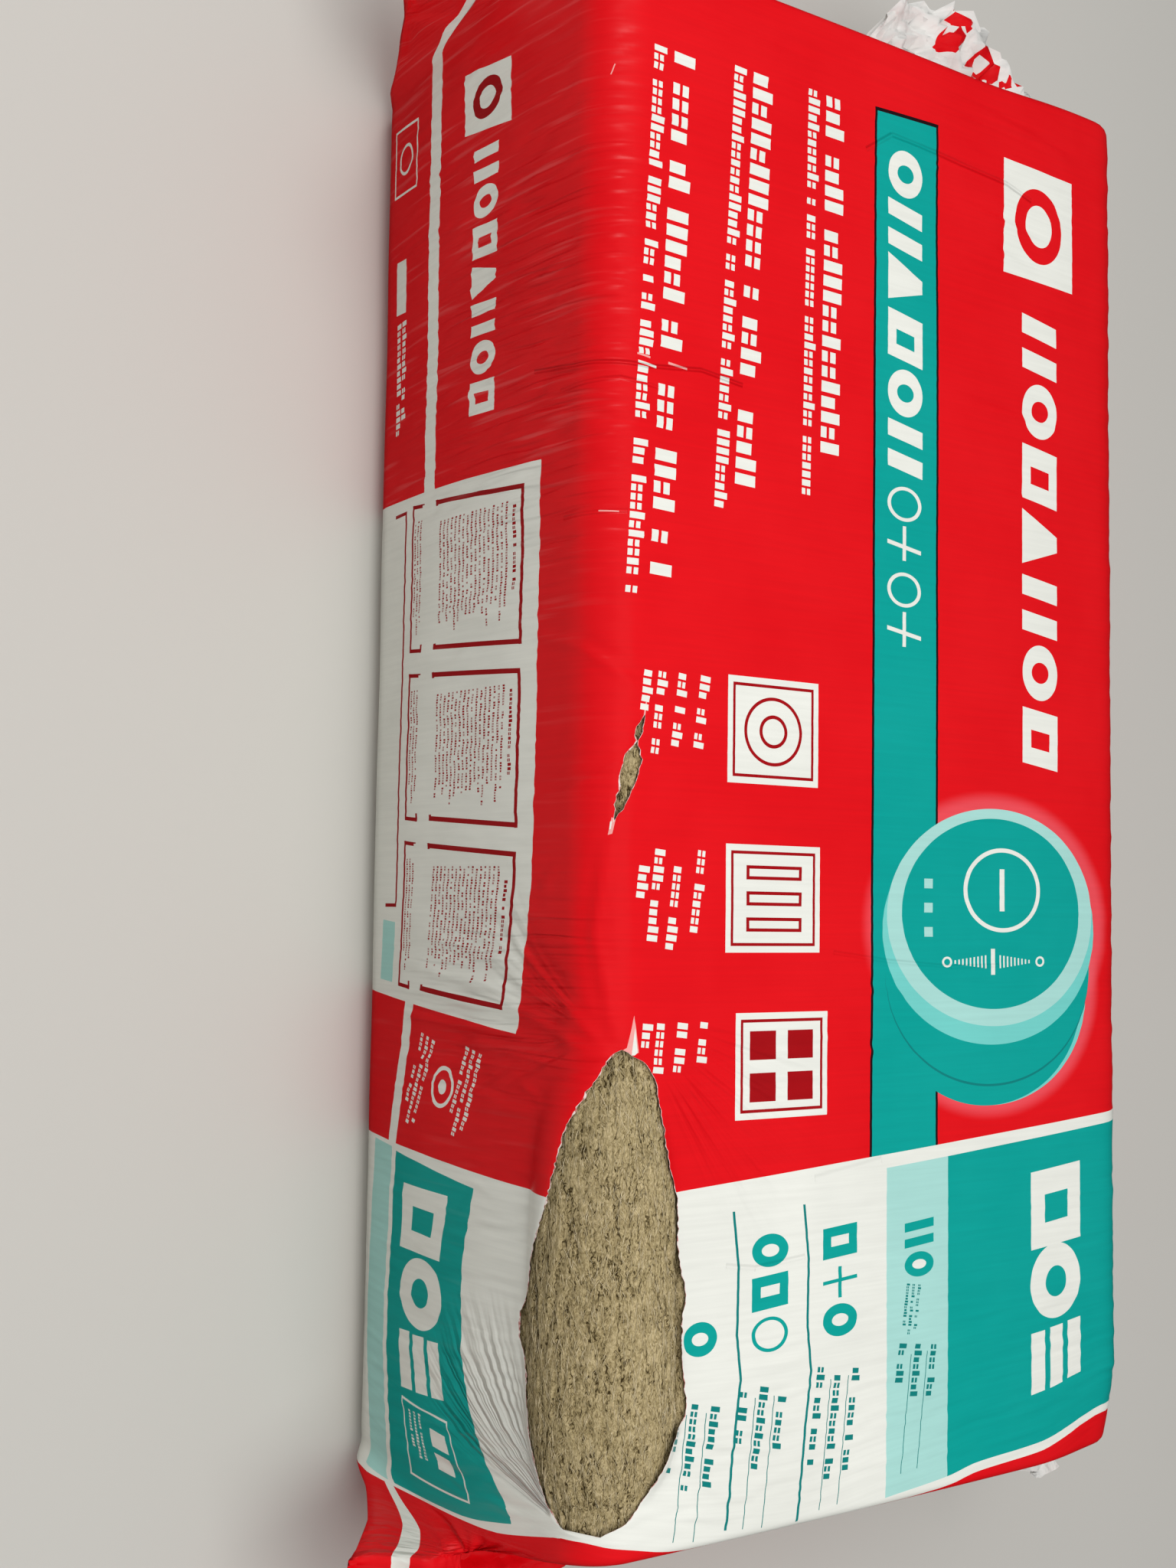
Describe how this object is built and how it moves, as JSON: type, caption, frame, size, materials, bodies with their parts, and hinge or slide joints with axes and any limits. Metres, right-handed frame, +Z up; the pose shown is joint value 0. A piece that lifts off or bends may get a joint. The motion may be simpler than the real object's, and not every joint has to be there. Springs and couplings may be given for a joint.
{
  "type": "insulation batt pack",
  "caption": "Compressed pack of stone-wool insulation batts, wrapped in printed film that is torn along the front top edge.",
  "frame": {"origin": "middle of the bounding box's underside, where the film bag rests on the ground", "axes": "+X along the batts' length, +Y from the torn front face to the back of the stack, +Z up"},
  "size_m": [1.48, 0.812, 0.374],
  "materials": {
    "stone_wool": "matt, fibrous",
    "printed_film": "glossy, wrinkled"
  },
  "bodies": {
    "root": {"batt_1": "stone_wool", "batt_2": "stone_wool", "batt_3": "stone_wool", "batt_4": "stone_wool", "batt_5": "stone_wool", "batt_6": "stone_wool", "batt_7": "stone_wool", "batt_8": "stone_wool", "film_wrap": "printed_film"}
  },
  "joints": []
}
